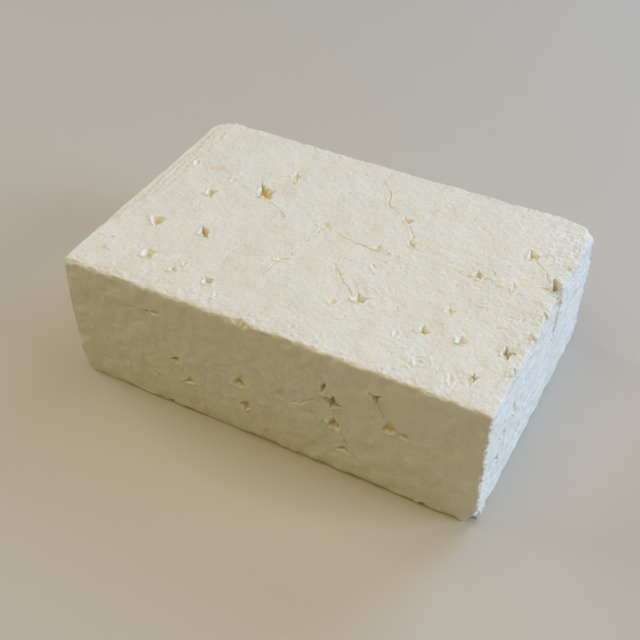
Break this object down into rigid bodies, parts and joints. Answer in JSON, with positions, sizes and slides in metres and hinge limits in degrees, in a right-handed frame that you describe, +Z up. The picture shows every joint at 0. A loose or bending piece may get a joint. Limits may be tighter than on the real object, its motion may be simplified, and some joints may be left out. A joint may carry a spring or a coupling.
{
  "type": "feta block",
  "caption": "Rectangular block of white feta cheese with worn edges and irregular star-shaped openings, resting on a flat base.",
  "frame": {"origin": "middle of the flat base, on the surface that the block rests on", "axes": "+X along the block's length towards the fresh cut end, +Y across it towards the back, +Z up through its height"},
  "size_m": [0.1, 0.066, 0.0334],
  "materials": {
    "feta": "moist white brined cheese, matt with a faint wet sheen"
  },
  "bodies": {
    "root": {"feta_block": "feta"}
  },
  "joints": []
}
